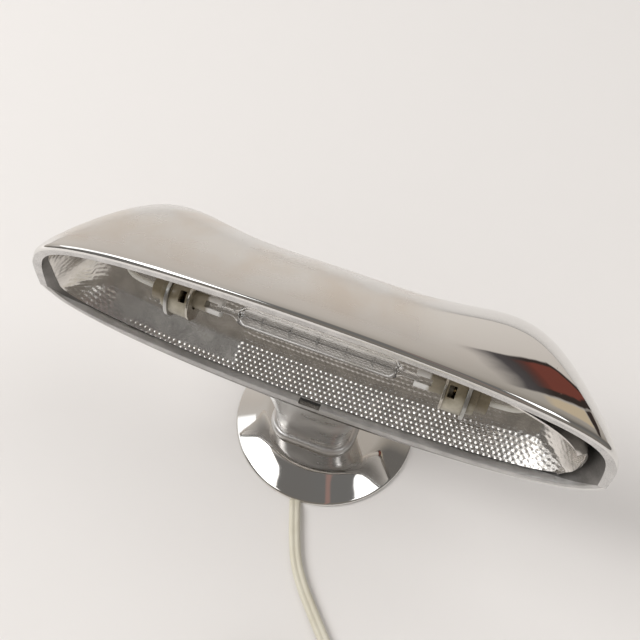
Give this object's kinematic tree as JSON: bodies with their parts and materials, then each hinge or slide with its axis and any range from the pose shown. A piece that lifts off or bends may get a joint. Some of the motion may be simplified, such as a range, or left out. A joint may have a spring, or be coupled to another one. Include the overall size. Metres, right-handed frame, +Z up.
{
  "type": "wall lamp",
  "caption": "Swivelling wall lamp: round rose, flared neck and a long cast head with a hammered reflector around a linear double-ended lamp, with supply cord and plug.",
  "frame": {"origin": "centre of the rose on the wall, midway between the two wall screw slots", "axes": "+Y into the wall, -Y out to the room, +Z up, X along the wall; the head is shown turned 21.1 degrees about the Y axis"},
  "size_m": [0.2369, 0.1343, 0.3047],
  "materials": {
    "polished_shell": "cast aluminium, polished and clear-coated",
    "reflector_sheet": "hammered bright-anodised sheet",
    "zinc_steel": "zinc-plated steel strip and screws",
    "spring_steel": "nickel-plated",
    "brass": "turned brass",
    "dark_fibre": "hard fibre washer",
    "clamp_plastic": "moulded, matte",
    "ceramic": "steatite, unglazed",
    "lamp_ceramic": "pressed ceramic lamp cap",
    "quartz": "clear fused quartz",
    "filament_wire": "tungsten",
    "lead_sleeve": "silicone-sleeved lead",
    "cord_sheath": "flat twin cord, cream",
    "tie_plastic": "nylon band",
    "plug_plastic": "moulded plug, cream"
  },
  "bodies": {
    "base": {"wall_bracket": "zinc_steel", "rose": "polished_shell", "centre_tube": "brass", "stop_pin": "zinc_steel", "friction_washer": "dark_fibre", "plain_washer": "zinc_steel", "spring_washer": "spring_steel", "tube_nut": "brass", "lock_nut": "brass", "cord_clamp": "clamp_plastic", "clamp_screws": "zinc_steel", "inner_cord": "cord_sheath", "cord": "cord_sheath", "cord_coil": "cord_sheath", "cord_tie": "tie_plastic", "cord_tail": "cord_sheath", "plug_body": "plug_plastic", "plug_pins": "spring_steel"},
    "head": {"neck_foot": "polished_shell", "neck": "polished_shell", "tie_screws": "zinc_steel", "head_housing": "polished_shell", "reflector": "reflector_sheet", "lamp_bracket": "zinc_steel", "bracket_screws": "zinc_steel", "holder_left": "ceramic", "holder_right": "ceramic", "flange_left": "spring_steel", "flange_right": "spring_steel", "rear_block_left": "ceramic", "rear_block_right": "ceramic", "lamp_bulb": "quartz", "filament": "filament_wire", "lamp_cap_left": "lamp_ceramic", "lamp_cap_right": "lamp_ceramic", "lamp_contacts": "spring_steel", "lead_left": "lead_sleeve", "lead_right": "lead_sleeve", "terminal_block": "ceramic", "terminal_screws": "brass", "head_cord": "cord_sheath"},
    "contact_left": {"plunger_left": "brass", "contact_spring_left": "spring_steel"},
    "contact_right": {"plunger_right": "brass", "contact_spring_right": "spring_steel"}
  },
  "joints": [
    {"name": "head_swivel", "type": "hinge", "parent": "base", "child": "head", "pos_m": [0, 0, 0], "axis": [0, 1, 0], "range_deg": [-81.1, 38.9]},
    {"name": "contact_left_push", "type": "slide", "parent": "head", "child": "contact_left", "axis": [-0.933, 0, 0.36], "range_m": [0, 0.0025], "stiffness_N_per_m": 1500, "springref_m": -0.004},
    {"name": "contact_right_push", "type": "slide", "parent": "head", "child": "contact_right", "axis": [0.933, 0, -0.36], "range_m": [0, 0.0025], "stiffness_N_per_m": 1500, "springref_m": -0.004}
  ]
}
